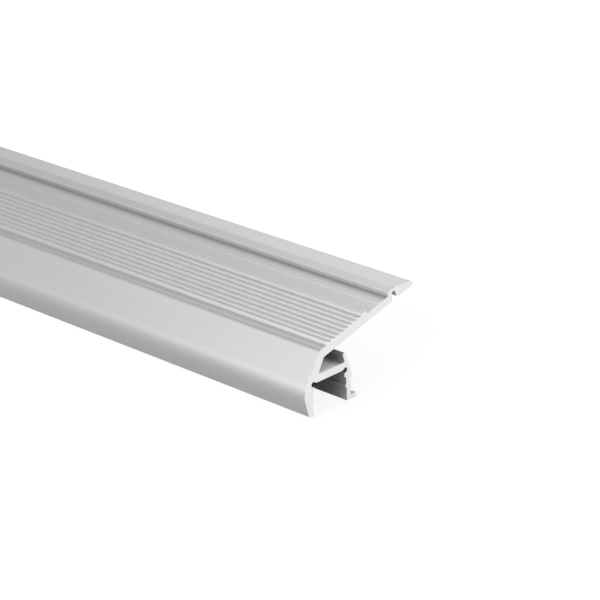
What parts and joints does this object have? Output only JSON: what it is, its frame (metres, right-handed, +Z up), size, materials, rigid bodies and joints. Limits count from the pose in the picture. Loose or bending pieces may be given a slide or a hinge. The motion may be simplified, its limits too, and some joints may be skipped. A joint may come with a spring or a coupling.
{
  "type": "led stair nosing profile",
  "caption": "Ribbed aluminium nosing profile for a stair edge, with a tilted channel under the nose for a light strip.",
  "frame": {"origin": "centre of the stock's length and depth, on the floor that the bead and the foot stand on", "axes": "+X along the extrusion, +Y from the nose to the back of the tread plate, +Z up"},
  "size_m": [1, 0.0518, 0.0322],
  "materials": {
    "anodised_aluminium": "satin"
  },
  "bodies": {
    "root": {"stair_profile": "anodised_aluminium"}
  },
  "joints": []
}
